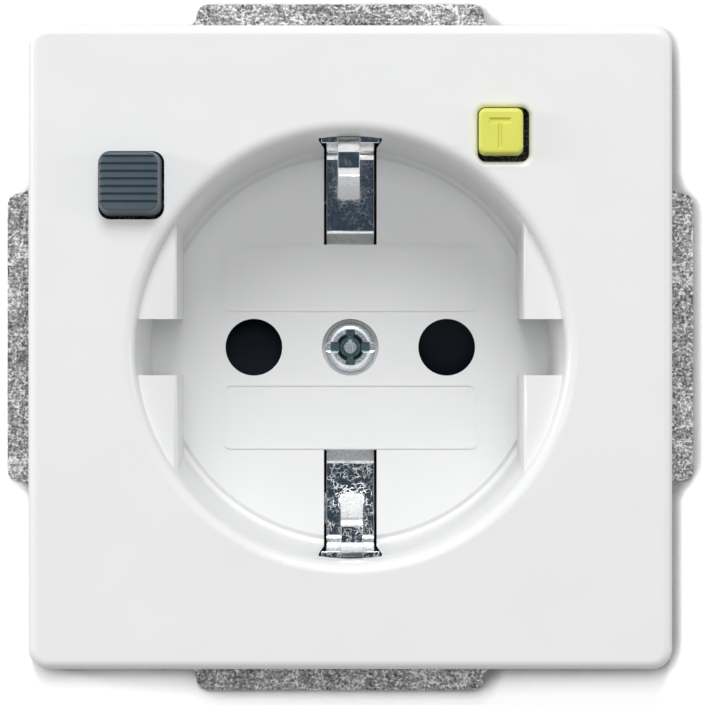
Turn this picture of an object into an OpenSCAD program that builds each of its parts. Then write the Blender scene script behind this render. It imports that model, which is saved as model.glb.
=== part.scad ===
// Flush wall socket with earth-leakage trip: x runs right, y up and z out of the wall
// while a piece is drawn, and each piece is then turned upright, to face along -Y.

/* [Cover plate] */
// Width of the cover plate
plate_w = 63; // [62:0.5:66]
// Height of the cover plate
plate_h = 63; // [62:0.5:66]
// How far the plate's front stands off the wall
plate_front = 9.5; // [9:0.1:10.5]
// Wall thickness of the plate
plate_t = 2.2; // [1.8:0.1:2.6]
// Radius of the plate's corners
plate_corner_r = 2; // [1.6:0.1:3]
// Rounding of the plate's front edge
plate_edge_r = 0.9; // [0.5:0.1:1.5]
// Thickness of the plate's skirt
skirt_t = 1.8; // [1.2:0.1:2]
// Width of the relief in the skirt over a box screw
relief_w = 8; // [7:0.5:10]
// Height of the relief above the frame
relief_h = 3; // [2.5:0.1:4]

/* [Well] */
// Radius of the well's floor
well_floor_r = 19.6; // [19.4:0.1:20]
// Radius of the well just under its rim
well_mouth_r = 21; // [20.8:0.1:21.3]
// Depth of the well's floor below the plate's front
well_depth = 17.5; // [17:0.1:18]
// Rounding of the well's rim
rim_r = 1.3; // [0.8:0.1:1.5]
// Fillet between the well's floor and wall
floor_fillet_r = 0.5; // [0.3:0.1:0.8]
// Width of the groove round the floor at the foot of the wall
floor_groove_w = 0.9; // [0.8:0.05:1.1]
// Depth of the groove round the floor
floor_groove_h = 0.35; // [0.2:0.05:0.4]
// Thickness of the well's wall
well_wall_t = 1.5; // [1.2:0.1:1.6]
// Thickness of the well's floor
floor_t = 2.5; // [2.2:0.1:3]

/* [Guide blocks] */
// Distance between the guide blocks at their tops
guide_gap = 34.6; // [34:0.1:36]
// How much closer together the blocks are at the floor
guide_slope = 1.8; // [1:0.1:2.4]
// How far the blocks end below the plate's front
guide_drop = 1.8; // [1.5:0.1:4]
// Width of the notch through each block
notch_w = 5.5; // [4.5:0.1:6]
// Chamfer along the tops of the blocks
guide_chamfer = 0.3; // [0.1:0.05:0.4]

/* [Pin holes] */
// Distance between the pin holes
pin_pitch = 19; // [19:0.1:19.2]
// Diameter of a pin hole
pin_hole_d = 5.6; // [5.2:0.1:6]

/* [Cover screw] */
// Diameter of the screw's head
screw_head_d = 4.9; // [4.6:0.1:5.2]
// Height of the screw's head
screw_head_h = 1.4; // [1.2:0.1:1.5]
// Diameter of the screw's shank
screw_d = 2.9; // [2.6:0.1:3]
// Length of the screw's shank
screw_len = 7.2; // [6:0.1:8]
// Rounding of the head's edge
screw_edge_r = 0.7; // [0.3:0.1:0.8]
// How far the head lies below the well's floor
screw_sink = 0.3; // [0.1:0.1:0.5]
// Width of the slot across the head
screw_slot_w = 1.1; // [0.8:0.1:1.4]
// Width of the arms of the cross
cross_arm_w = 0.9; // [0.6:0.05:1]
// Length of the arms of the cross
cross_arm_l = 3.5; // [3:0.1:3.8]
// Diameter of the cone in the middle of the cross
recess_cone_d = 2.8; // [2.2:0.1:3]
// Depth of the recess in the head
recess_depth = 0.8; // [0.5:0.1:0.9]
// Slope of the recess's walls, as width lost on each side at the floor
recess_slope = 0.2; // [0.05:0.05:0.25]
// Gap round the head in its counterbore
screw_head_gap = 0.34; // [0.2:0.01:0.5]

/* [Label fields] */
// Width of a framed label field
label_w = 24.9; // [22:0.1:26]
// Height of a framed label field
label_h = 6.45; // [5:0.05:6.6]
// Distance from the well's middle to a label field
label_gap = 3.55; // [3.3:0.05:4]
// Height of the line that frames a field
label_line_h = 0.12; // [0.1:0.01:0.3]
// Width of the line that frames a field
label_line_w = 0.25; // [0.2:0.01:0.5]

/* [Earth strap] */
// Thickness of the strap
strap_t = 0.9; // [0.7:0.05:1]
// Width of the strap
strap_w = 4.7; // [4.4:0.1:4.8]
// How far each side of a clip flares at its top
strap_flare = 0.5; // [0.2:0.05:0.55]
// Step in the strap where it comes into the slot
strap_step = 0.35; // [0.2:0.05:0.4]
// Width of the spring tongue
tongue_w = 2.15; // [2:0.05:2.5]
// How far a tongue stands off the middle of its clip
tongue_shift = -0.15; // [-0.3:0.05:0.3]
// Distance from the middle to the nose of a tongue
nose_r = 14.6; // [14.3:0.1:15.5]
// How far the top of a clip lies below the plate's front
clip_drop = 4.9; // [4.7:0.1:6]
// Width of the slot for a clip
slot_w = 5.2; // [5.2:0.1:5.6]
// Distance from the middle to the start of the slot
slot_start = 10.1; // [10:0.1:10.6]

/* [Support frame] */
// Thickness of the sheet
frame_t = 1.2; // [1:0.1:1.5]
// Depth of the recess in the frame's back that the housing's rim seats in
seat_depth = 0.3; // [0.2:0.05:0.35]
// How far the frame's body stays inside the plate's outline
frame_inset = 0.1; // [0:0.05:0.4]
// How far the ears reach past the body
ear_reach = 2.25; // [2.15:0.05:4]
// Width of an ear
ear_w = 28.2; // [24:0.1:30]
// How far the upper and lower ears sit to the side
ear_shift_x = -1; // [-1.2:0.1:1.2]
// How far the left and right ears sit above the middle
ear_shift_y = 1; // [-1.2:0.1:1.2]
// Fillet at the foot of an ear
ear_fillet_r = 1.1; // [0.8:0.05:1.1]
// Radius of an ear's corners
ear_corner_r = 1.1; // [0.5:0.05:1.1]
// Distance between opposite box screws
box_screw_pitch = 60; // [60:0.1:60.2]
// Diameter of a box-screw hole
box_screw_d = 3.3; // [3.2:0.1:3.4]

/* [Frame screws] */
// Radius of the circle that the frame screws stand on
frame_screw_circle_r = 24.7; // [24.6:0.1:24.9]
// Diameter of a frame screw
frame_screw_d = 2; // [1.8:0.1:2.2]
// Diameter of a frame screw's head
frame_screw_head_d = 3.8; // [3.4:0.1:3.9]
// Height of a frame screw's head
frame_screw_head_h = 0.5; // [0.4:0.05:0.5]
// Length of a frame screw
frame_screw_len = 9; // [6:0.5:12]

/* [Reset button] */
// Width of the reset button
reset_w = 5.8; // [5.7:0.05:5.9]
// Height of the reset button
reset_h = 5.84; // [5.7:0.02:6]
// Place of the reset button's middle, to the right
reset_x = -21.68; // [-21.7:0.01:-21.6]
// Place of the reset button's middle, upward
reset_y = 16.2; // [16.1:0.01:16.3]
// Radius of the reset button's corners
reset_corner_r = 1.1; // [0.8:0.1:1.3]
// How far the reset button stands out of the plate
reset_proud = 2; // [1:0.1:2.5]
// Travel of the reset button
reset_travel = 2; // [1.8:0.1:2]
// Number of grooves across the reset button
groove_count = 7; // [5:1:8]
// Distance between the grooves
groove_pitch = 0.74; // [0.6:0.01:0.75]
// Depth of a groove
groove_depth = 0.24; // [0.1:0.01:0.3]
// Width of a groove at the face
groove_w = 0.36; // [0.2:0.01:0.4]
// How far the grooves stand above the button's middle
groove_shift = 0.25; // [0:0.05:0.3]

/* [Test button] */
// Width of the test button
test_w = 4.35; // [4.2:0.05:4.5]
// Height of the test button
test_h = 4.45; // [4.4:0.05:4.7]
// Place of the test button's middle, to the right
test_x = 14.74; // [14.7:0.02:14.84]
// Place of the test button's middle, upward
test_y = 21.16; // [21.1:0.02:21.2]
// Radius of the test button's corners
test_corner_r = 0.7; // [0.5:0.1:0.9]
// How far the test button stands out of the plate
test_proud = 1.2; // [0.8:0.1:1.5]
// Travel of the test button
test_travel = 1.2; // [0.8:0.1:1.3]
// Soft rounding of the rim round the test button
test_lip_r = 0.6; // [0.3:0.1:0.7]

/* [Buttons] */
// Gap round a button on its narrow side
button_gap = 0.08; // [0.08:0.01:0.15]
// Extra gap on the right of a button
button_side_gap = 0.5; // [0.4:0.05:0.5]
// Extra gap below a button
button_low_gap = 0.7; // [0.55:0.05:0.7]
// How far the reset button's right flank slopes out from its face
reset_side_lean = 0.35; // [0.1:0.05:0.35]
// How far the reset button's lower flank slopes out from its face
reset_low_lean = 0.45; // [0.1:0.05:0.5]
// How far the test button's lower flank slopes out from its face
test_low_lean = 0.2; // [0.1:0.05:0.5]
// Rounding of the edge of a button's face
button_edge_r = 0.35; // [0.2:0.05:0.5]
// Thickness of the stop flange at the back of a button
flange_t = 0.8; // [0.6:0.1:1]
// How far the stop flange reaches past the button's top and left sides
flange_reach = 0.8; // [0.7:0.05:0.9]
// Wall of the guide behind each button hole
guide_wall_t = 1; // [0.8:0.1:1.2]
// Diameter of the reset button's stem
reset_stem_d = 2.4; // [2.2:0.1:2.4]
// Diameter of the test button's stem
test_stem_d = 2.2; // [1.8:0.1:2.2]
// Gap between a stem and the housing's wall
stem_gap = 0.4; // [0.3:0.05:0.45]
// Length of the test button's stem behind the wall plane
test_stem_len = 18.6; // [17:0.1:18.7]

/* [Rear housing] */
// Outer radius of the housing
housing_r = 28.1; // [28:0.05:28.2]
// Thickness of the housing's wall
housing_wall_t = 1.5; // [1.3:0.1:1.6]
// Thickness of the housing's back
housing_back_t = 1.8; // [1.5:0.1:2.2]
// Depth of the housing behind the wall plane
housing_depth = 38; // [38:0.5:42]
// Width across the housing's two flats
housing_flats = 51.6; // [51:0.1:52]
// Chamfer round the housing's back
housing_chamfer = 1.2; // [0.5:0.1:1.3]
// Radius of the bosses for the frame screws
boss_r = 2; // [1.8:0.1:2.1]
// Length of the bosses for the frame screws
boss_len = 14; // [12:0.5:16]
// Thickness of the ribs that carry the contact block
rib_t = 1.6; // [1.2:0.1:1.8]
// Diameter of the post that guides the contact carrier
post_d = 2.4; // [2:0.1:2.6]
// Diameter of a wire entry
wire_hole_d = 4.4; // [4.2:0.1:4.6]
// Diameter of the screwdriver holes
driver_hole_d = 5; // [4.6:0.1:5.4]

/* [Contact block] */
// Radius of the block's deck
deck_r = 20.8; // [20.4:0.1:21.2]
// Thickness of the deck
deck_t = 1.5; // [1.2:0.1:2]
// Space between the well's floor and the deck
deck_space = 3.3; // [3.3:0.1:3.5]
// Width of the part that holds the chambers
chamber_block_w = 29.2; // [28.6:0.1:29.4]
// Height of the part that holds the chambers
chamber_block_h = 17; // [14:0.1:18]
// Depth of the chambers behind the deck
chamber_len = 12.1; // [11.5:0.1:12.5]
// Width and height of a contact chamber
chamber_w = 8.4; // [8.2:0.1:8.6]
// Width of the channel for the leads
channel_w = 5.6; // [5.2:0.1:5.8]
// Diameter of the shutter's pivot boss
pivot_d = 5; // [4.8:0.1:5.4]

/* [Shutter] */
// Thickness of the shutter
shutter_t = 1.6; // [1.4:0.1:1.6]
// Width of a shutter arm
shutter_arm_w = 6.2; // [6:0.1:6.4]
// Reach of a shutter arm
shutter_r = 13; // [12.6:0.1:13.2]
// Depth of the ramp that a pin pushes on
shutter_ramp = 0.8; // [0.4:0.1:0.9]

/* [Contacts] */
// Thickness of the contact strips
contact_t = 0.8; // [0.6:0.05:0.8]
// Height of a socket contact
contact_h = 6; // [5:0.1:6.5]
// Gap between the noses of a socket contact
contact_nose_gap = 4.2; // [4:0.1:4.6]
// Diameter of a contact rivet
rivet_d = 2.4; // [2:0.1:2.6]
// Height of a contact rivet
rivet_h = 0.8; // [0.6:0.05:0.9]
// Height of the contact rivets above the middle
rivet_y = 12; // [11.9:0.1:12.1]
// Distance from the middle to the lead's rivet
lead_rivet_x = 4.4; // [4.2:0.1:4.6]
// Gap between the rivets of a closed contact
contact_gap = 0.05; // [0.05:0.01:0.08]
// Width of a lead strip
lead_w = 4; // [3:0.1:4.2]
// Distance from the middle to the inner face of a lead
lead_x = 1.2; // [1.1:0.1:1.4]

/* [Carrier and latch] */
// Thickness of the contact carrier
carrier_t = 2.75; // [2.6:0.05:2.8]
// Height of the carrier's bar
carrier_h = 4; // [3.8:0.1:4.2]
// Thickness of the latch
latch_t = 0.8; // [0.6:0.05:0.8]
// Travel of the latch and plunger
latch_travel = 1; // [1:0.05:1.1]
// Diameter of the stem's neck that the latch holds
neck_d = 1.6; // [1.4:0.1:1.7]

/* [Trip coil] */
// Radius of the bobbin's flanges
bobbin_r = 3.7; // [3.5:0.1:3.7]
// Length of the bobbin
bobbin_len = 12; // [11:0.5:12]
// Left end of the bobbin
bobbin_x = -10; // [-10:0.1:-9.8]
// Height of the coil's axis above the middle
coil_y = 19.4; // [19.3:0.1:19.5]
// Diameter of the plunger
plunger_d = 3; // [2.8:0.1:3]
// Radius of the winding on the bobbin
winding_r = 3.3; // [2.8:0.1:3.4]
// Thickness of the steel yoke
yoke_t = 0.8; // [0.6:0.1:0.9]

/* [Sensing core] */
// Outer radius of the core
core_r = 8.4; // [8:0.1:8.5]
// Radius of the core's hole
core_hole_r = 5; // [4.8:0.1:5.2]
// Height of the core
core_h = 5.8; // [5:0.1:6]
// Height of the core's middle, below the socket's middle
core_drop = 13.6; // [13.5:0.1:13.7]
// Number of turns drawn on the core
core_turns = 16; // [10:1:18]
// Thickness of a turn
turn_t = 0.5; // [0.4:0.05:0.6]

/* [Terminals] */
// Width and height of a terminal block
terminal_w = 6; // [5.6:0.1:6]
// Length of a terminal block
terminal_len = 8; // [7:0.5:9]
// Place of the line and neutral terminals to the side
terminal_x = 8.5; // [8.4:0.1:8.6]
// Depth of the line and neutral terminals below the middle
terminal_y = 20.5; // [20.4:0.1:20.6]
// Place of the earth terminal to the left and below the middle
earth_terminal_xy = 15.7; // [15.6:0.05:15.75]
// Diameter of a terminal's wire hole
terminal_bore_d = 3.4; // [3:0.1:3.4]
// Diameter of a terminal screw's shank
terminal_screw_d = 2.5; // [2.2:0.1:2.6]
// Diameter of a terminal screw's head
terminal_head_d = 4; // [3.6:0.1:4.2]

/* [Circuit board] */
// Thickness of the board
board_t = 1.2; // [1:0.1:1.6]
// Distance from the middle to the board
board_x = 17.2; // [17.1:0.1:17.4]
// Height of the board
board_h = 31; // [28:0.5:31]

/* [Clearances] */
// Gap between moulded pieces that lie against each other
fit_gap = 0.1; // [0.1:0.01:0.15]
// Gap round a piece that slides or turns
slide_gap = 0.15; // [0.12:0.01:0.2]
// Gap between a spring and the piece that it pushes on
spring_gap = 0.05; // [0.05:0.01:0.1]
// Diameter of the springs' wire
wire_d = 0.35; // [0.25:0.05:0.4]

/* [Hidden] */
$fn = 48;

// Overlap that lets a cut run clear through a face
over = 1;
layer_t = 0.02;

// Heights of the well, from the rim down to the deck
rim_z = plate_front - rim_r;
floor_z = plate_front - well_depth;
floor_back = floor_z - floor_t;
rim_outer_r = well_mouth_r + rim_r;
guide_top = plate_front - guide_drop;
plate_back = plate_front - plate_t;
strap_front = floor_back - fit_gap;
strap_back = strap_front - strap_t;
deck_front = floor_back - deck_space;
deck_back = deck_front - deck_t;
shutter_back = deck_front + 0.3;
shutter_front = shutter_back + shutter_t;
chamber_back = deck_back - chamber_len;
clip_top = plate_front - clip_drop;
screw_top = floor_z - screw_sink;

// Contacts, from the block's back face to the carrier's back
tail_front = chamber_back - 0.2;
tail_back = tail_front - contact_t;
bridge_front = tail_back - 2 * rivet_h - contact_gap;
bridge_back = bridge_front - contact_t;
carrier_front = bridge_back;
carrier_back = carrier_front - carrier_t;
latch_front = carrier_front - (carrier_t - latch_t) / 2;
latch_back = latch_front - latch_t;
pin_x = pin_pitch / 2;

// Earth clips and the strap's side arm
clip_r = well_floor_r + (well_mouth_r - well_floor_r) * (clip_top - floor_z) / (rim_z - floor_z) - 0.2;
upright_top = clip_top - 1.4;
tongue_t = strap_t * 0.6;
strap_pad_r = 4;
earth_arm_y = 14.4;
earth_arm_w = 3;

// Button holes and stems
reset_hole_w = reset_w + 2 * button_gap + button_side_gap;
reset_hole_h = reset_h + 2 * button_gap + button_low_gap;
reset_hole_x = reset_x + button_side_gap / 2;
reset_hole_y = reset_y - button_low_gap / 2;
reset_hole_corner_r = reset_corner_r + button_gap;
test_hole_w = test_w + 2 * button_gap + button_side_gap;
test_hole_h = test_h + 2 * button_gap + button_low_gap;
test_hole_x = test_x + button_side_gap / 2;
test_hole_y = test_y - button_low_gap / 2;
test_hole_corner_r = test_corner_r + button_gap;
stem_circle_r = housing_r - housing_wall_t - stem_gap - reset_stem_d / 2;
reset_stem_a = atan2(reset_y, reset_x);
test_stem_a = atan2(test_y, test_x);
reset_stem_x = stem_circle_r * cos(reset_stem_a);
reset_stem_y = stem_circle_r * sin(reset_stem_a);
test_stem_x = stem_circle_r * cos(test_stem_a);
test_stem_y = stem_circle_r * sin(test_stem_a);
guide_end = plate_back - 1;
button_back = guide_end - fit_gap - flange_t;
button_spring_len = button_back - frame_t - 2 * spring_gap;

// Housing
housing_inner_r = housing_r - housing_wall_t;
back_z = -housing_depth;
inner_back_z = back_z + housing_back_t;
coil_z = inner_back_z + yoke_t + bobbin_r + fit_gap;
safe_r = housing_inner_r - 0.35;
core_z = inner_back_z + core_r + turn_t + 0.25;
reset_stem_end = inner_back_z + reset_travel + 0.4;
leaf_front = -test_stem_len - test_travel / 2 + 0.4;

// Terminals, as depths behind the wall plane
terminal_gap = 2.2;
terminal_back = housing_depth - housing_back_t - terminal_gap;
terminal_front = terminal_back - terminal_len;
terminal_mid = (terminal_back + terminal_front) / 2;
earth_leg_x = -earth_terminal_xy + terminal_w / 2;
wire_places = [
  [terminal_x, -terminal_y],
  [-terminal_x, -terminal_y],
  [-earth_terminal_xy, -earth_terminal_xy]
];

// Carrier with its post and spring, and the latch with its tab and the plunger's groove
post_x = 13.4;
carrier_left = -19;
carrier_right = post_x + 2;
carrier_head_w = 7;
carrier_head_h = 7.2;
carrier_spring_x = -14.2;
spring_seat_z = -24;
latch_w = 3.9;
latch_y = reset_stem_y - 2;
tab_x = -15.7;
plunger_groove = latch_t + 0.4;
frame_screw_angles = [90, 200, 340];
frame_screw_seat = frame_t - frame_screw_head_h;
spring_turns = 4;

// Radius of the well's wall at height z
function well_r(z) =
  well_floor_r + (well_mouth_r - well_floor_r) * (z - floor_z) / (rim_z - floor_z);

// Unit vector from a to b, its left-hand normal, and a vector v turned by angle a
function unit(a, b) = (b - a) / norm(b - a);
function left(v) = [-v[1], v[0]];
function turned(v, a) = [v[0] * cos(a) - v[1] * sin(a), v[0] * sin(a) + v[1] * cos(a)];

// Points on the arc of one bend at corner b, at offset s from the centre line
function bend_points(a, b, c, r, s, n) =
  let (
    into = unit(a, b),
    out = unit(b, c),
    angle = atan2(into[0] * out[1] - into[1] * out[0], into * out),
    way = sign(angle),
    start = b - r * tan(abs(angle) / 2) * into,
    centre = start + way * r * left(into),
    arm = -way * left(into)
  )
  [for (k = [0 : n]) centre + (r - way * s) * turned(arm, angle * k / n)];

// One side of a strip that follows the points p with bends of radius r
function strip_side(p, r, s, n) = [
  for (i = [0 : len(p) - 1])
    each i == 0
      ? [p[0] + s * left(unit(p[0], p[1]))]
      : i == len(p) - 1
        ? [p[i] + s * left(unit(p[i - 1], p[i]))]
        : bend_points(p[i - 1], p[i], p[i + 1], r, s, n)
];
function reversed(p) = [for (i = [len(p) - 1 : -1 : 0]) p[i]];

// Edge view of a bent strip of thickness t
module bent_strip(p, r, t, n = 6) {
  polygon(concat(strip_side(p, r, t / 2, n), reversed(strip_side(p, r, -t / 2, n))));
}

// Stands a drawn piece upright, so that its front faces along -Y
module upright() {
  rotate([90, 0, 0]) children();
}

// Rectangle with round corners, centred
module rounded_rect(w, h, r) {
  square([w - 2 * r, h], center = true);
  square([w, h - 2 * r], center = true);
  for (x = [-1, 1], y = [-1, 1])
    translate([x * (w / 2 - r), y * (h / 2 - r)]) circle(r);
}

// Sweeps a profile round a rounded rectangle, with the profile's x running outward
module edge_sweep(w, h, r) {
  for (side = [0 : 3]) {
    across = side % 2 == 0 ? w : h;
    along = side % 2 == 0 ? h : w;
    rotate(90 * side) {
      translate([across / 2 - r, along / 2 - r])
        rotate_extrude(angle = 90) translate([r, 0]) children();
      translate([across / 2, along / 2 - r])
        rotate([90, 0, 0]) linear_extrude(along - 2 * r) children();
    }
  }
}

// Waste outside a rounded edge at height z
module round_over(r, z) {
  translate([-r, z - r]) difference() {
    square(r + over);
    circle(r);
  }
}

// Waste inside the soft rim of a hole at height z
module lip_waste(r, z) {
  difference() {
    translate([0, z - r]) square([r, r + over]);
    translate([r, z - r]) circle(r);
  }
}

// Coil spring along z from the plane z = 0
module coil_spring(d, length, turns) {
  r = (d - wire_d) / 2;
  n = 16 * turns;
  sides = 6;
  rise = (length - wire_d) / n;
  points = [
    for (i = [0 : n], k = [0 : sides - 1])
      let (a = 22.5 * i, b = 360 * k / sides, q = r + wire_d / 2 * cos(b))
        [q * cos(a), q * sin(a), wire_d / 2 + rise * i + wire_d / 2 * sin(b)]
  ];
  walls = [
    for (i = [0 : n - 1], k = [0 : sides - 1])
      let (m = (k + 1) % sides)
        [i * sides + k, i * sides + m, (i + 1) * sides + m, (i + 1) * sides + k]
  ];
  first = [for (k = [sides - 1 : -1 : 0]) k];
  last = [for (k = [0 : sides - 1]) n * sides + k];
  polyhedron(points, concat(walls, [first], [last]));
}

// Hollow plate with its skirt, open where the well goes through
module plate_shell() {
  difference() {
    translate([0, 0, frame_t])
      linear_extrude(plate_front - frame_t) rounded_rect(plate_w, plate_h, plate_corner_r);
    edge_sweep(plate_w, plate_h, plate_corner_r) round_over(plate_edge_r, plate_front);
    linear_extrude(plate_back)
      rounded_rect(plate_w - 2 * skirt_t, plate_h - 2 * skirt_t, plate_corner_r / 2);
    cylinder(h = plate_front + over, r = rim_outer_r + 0.4);
    for (a = [0 : 90 : 270])
      rotate(a) translate([plate_w / 2, 0, frame_t + relief_h / 2 - over / 2])
        cube([4 * skirt_t, relief_w, relief_h + over], center = true);
  }
}

// Revolved wall, floor and rounded rim of the well
module well_body() {
  rotate_extrude() difference() {
    union() {
      polygon([
        [0, floor_back],
        [well_floor_r + well_wall_t, floor_back],
        [well_r(rim_z) + well_wall_t, rim_z],
        [0, rim_z]
      ]);
      translate([0, plate_back]) square([rim_outer_r + 0.8, plate_t]);
    }
    polygon([
      [0, floor_z],
      [well_floor_r - floor_groove_w, floor_z],
      [well_floor_r - floor_groove_w + floor_groove_h, floor_z - floor_groove_h],
      [well_floor_r, floor_z - floor_groove_h],
      [well_floor_r, floor_z],
      [well_mouth_r, rim_z],
      [well_mouth_r, plate_front + over],
      [0, plate_front + over]
    ]);
    translate([well_mouth_r - 0.01, rim_z]) difference() {
      square([rim_r + 0.01, rim_r + over]);
      translate([rim_r + 0.01, 0]) circle(rim_r);
    }
  }
  rotate_extrude() translate([well_floor_r - floor_fillet_r, floor_z - floor_groove_h]) difference() {
    translate([0, -0.2]) square([floor_fillet_r + 0.2, floor_fillet_r + 0.2]);
    translate([0, floor_fillet_r]) circle(floor_fillet_r);
  }
}

// Guide blocks at the sides of the well, each with a sloping face and a notch
module guide_blocks() {
  half = guide_gap / 2;
  intersection() {
    rotate_extrude() polygon([
      [0, floor_z - 0.5],
      [well_floor_r + 0.4, floor_z - 0.5],
      [well_r(guide_top) + 0.4, guide_top],
      [0, guide_top]
    ]);
    difference() {
      for (side = [0, 180])
        rotate(side) rotate([90, 0, 0])
          linear_extrude(2 * well_mouth_r, center = true) polygon([
            [half - guide_slope / 2, floor_z - 0.5],
            [half - guide_chamfer, guide_top - guide_chamfer],
            [half, guide_top],
            [well_mouth_r + over, guide_top],
            [well_mouth_r + over, floor_z - 0.5]
          ]);
      translate([0, 0, floor_z + well_depth / 2])
        cube([3 * well_mouth_r, notch_w, well_depth], center = true);
    }
  }
}

// Square guides behind the button holes
module button_guides() {
  translate([reset_hole_x, reset_hole_y, guide_end])
    linear_extrude(plate_front - guide_end - plate_edge_r)
      rounded_rect(reset_hole_w + 2 * guide_wall_t, reset_hole_h + 2 * guide_wall_t,
                   reset_hole_corner_r);
  translate([test_hole_x, test_hole_y, guide_end])
    linear_extrude(plate_front - guide_end - plate_edge_r)
      rounded_rect(test_hole_w + 2 * guide_wall_t, test_hole_h + 2 * guide_wall_t,
                   test_hole_corner_r);
}

// Raised line round a label field
module label_frame() {
  linear_extrude(label_line_h + 0.2) difference() {
    rounded_rect(label_w, label_h, 0.6);
    rounded_rect(label_w - 2 * label_line_w, label_h - 2 * label_line_w, 0.6 - label_line_w / 2);
  }
}

module cover_plate() upright() color([0.93, 0.93, 0.94]) difference() {
  union() {
    plate_shell();
    difference() {
      button_guides();
      translate([0, 0, -over]) cylinder(h = plate_front + 2 * over, r = rim_outer_r);
    }
    well_body();
    guide_blocks();
    for (side = [-1, 1])
      translate([0, side * (label_gap + label_h / 2), floor_z - 0.2]) label_frame();
  }
  translate([reset_hole_x, reset_hole_y, -over])
    linear_extrude(plate_front + 2 * over)
      rounded_rect(reset_hole_w, reset_hole_h, reset_hole_corner_r);
  translate([test_hole_x, test_hole_y, -over])
    linear_extrude(plate_front + 2 * over)
      rounded_rect(test_hole_w, test_hole_h, test_hole_corner_r);
  translate([test_hole_x, test_hole_y, 0])
    edge_sweep(test_hole_w, test_hole_h, test_hole_corner_r) lip_waste(test_lip_r, plate_front);
  for (a = frame_screw_angles)
    rotate(a) translate([frame_screw_circle_r, 0, -frame_screw_len - fit_gap])
      cylinder(h = frame_screw_len + frame_t + 2 * fit_gap, d = frame_screw_head_d + 2 * fit_gap);
  for (x = [-pin_x, pin_x])
    translate([x, 0, floor_back - over]) cylinder(h = floor_t + 2 * over, d = pin_hole_d);
  translate([0, 0, floor_back - over]) cylinder(h = floor_t + 2 * over, d = screw_d + 0.4);
  translate([0, 0, screw_top - screw_head_h])
    cylinder(h = well_depth, d = screw_head_d + 2 * screw_head_gap);
  for (side = [0, 180])
    rotate(side) translate([0, 0, floor_back - over])
      linear_extrude(clip_top + 0.3 - floor_back + over) polygon([
        [-slot_w / 2, slot_start],
        [slot_w / 2, slot_start],
        [slot_w / 2, clip_r - strap_t],
        [slot_w / 2 + strap_flare, clip_r - strap_t / 4],
        [slot_w / 2 + strap_flare, well_mouth_r + well_wall_t + over],
        [-slot_w / 2 - strap_flare, well_mouth_r + well_wall_t + over],
        [-slot_w / 2 - strap_flare, clip_r - strap_t / 4],
        [-slot_w / 2, clip_r - strap_t]
      ]);
}

// Groove along x with sloping walls, cut down from the plane z = 0
module sloped_groove(length, w, depth) {
  rotate([90, 0, 90]) linear_extrude(length, center = true) polygon([
    [-w / 2 + recess_slope, -depth],
    [w / 2 - recess_slope, -depth],
    [w / 2, 0],
    [w / 2, over],
    [-w / 2, over],
    [-w / 2, 0]
  ]);
}

module cover_screw() upright() color([0.75, 0.76, 0.78]) translate([0, 0, screw_top]) {
  difference() {
    rotate_extrude() difference() {
      union() {
        translate([0, -screw_head_h]) square([screw_head_d / 2, screw_head_h]);
        translate([0, -screw_head_h - screw_len]) square([screw_d / 2, screw_len + screw_edge_r / 2]);
      }
      translate([screw_head_d / 2, 0]) round_over(screw_edge_r, 0);
    }
    sloped_groove(screw_head_d + over, screw_slot_w, recess_depth * 0.7);
    rotate(90) sloped_groove(cross_arm_l, cross_arm_w, recess_depth);
    translate([0, 0, -recess_depth])
      cylinder(h = recess_depth + 0.01, d1 = recess_cone_d - 4 * recess_slope, d2 = recess_cone_d);
  }
  translate([0, 0, -recess_depth - 0.1])
    cylinder(h = recess_depth - 0.1, d1 = screw_slot_w + 0.5, d2 = screw_slot_w + 0.1);
}

// Outline of the support frame's sheet
module frame_outline() {
  body_w = plate_w - 2 * frame_inset;
  body_h = plate_h - 2 * frame_inset;
  rounded_rect(body_w, body_h, plate_corner_r);
  translate([ear_shift_x, 0]) rounded_rect(ear_w, body_h + 2 * ear_reach, ear_corner_r);
  translate([0, ear_shift_y]) rounded_rect(body_w + 2 * ear_reach, ear_w, ear_corner_r);
  for (end = [-1, 1], side = [-1, 1]) {
    translate([ear_shift_x + side * ear_w / 2, end * body_h / 2])
      scale([side, end]) ear_fillet();
    translate([end * body_w / 2, ear_shift_y + side * ear_w / 2])
      scale([end, side]) ear_fillet();
  }
}

// Fillet in the corner between an ear's flank and the body's edge
module ear_fillet() {
  translate([-0.1, -0.1]) difference() {
    square(ear_fillet_r + 0.1);
    translate([ear_fillet_r + 0.1, ear_fillet_r + 0.1]) circle(ear_fillet_r);
  }
}

module support_frame() upright() color([0.6, 0.61, 0.62]) difference() {
  linear_extrude(frame_t) difference() {
    frame_outline();
    circle(well_r(frame_t) + well_wall_t + 0.3);
    translate([reset_stem_x, reset_stem_y]) circle(d = reset_stem_d + 4 * slide_gap);
    translate([test_stem_x, test_stem_y]) circle(d = test_stem_d + 4 * slide_gap);
    for (a = [0 : 90 : 270])
      rotate(a) translate([box_screw_pitch / 2, 0]) circle(d = box_screw_d);
    for (a = frame_screw_angles)
      rotate(a) translate([frame_screw_circle_r, 0]) circle(d = frame_screw_d + 0.2);
  }
  for (a = frame_screw_angles)
    rotate(a) translate([frame_screw_circle_r, 0, frame_screw_seat])
      cylinder(h = frame_t, d = frame_screw_head_d + 0.1);
  translate([0, 0, -over]) linear_extrude(seat_depth + over)
    housing_outline(housing_r + fit_gap, housing_flats + 2 * fit_gap);
}

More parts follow.
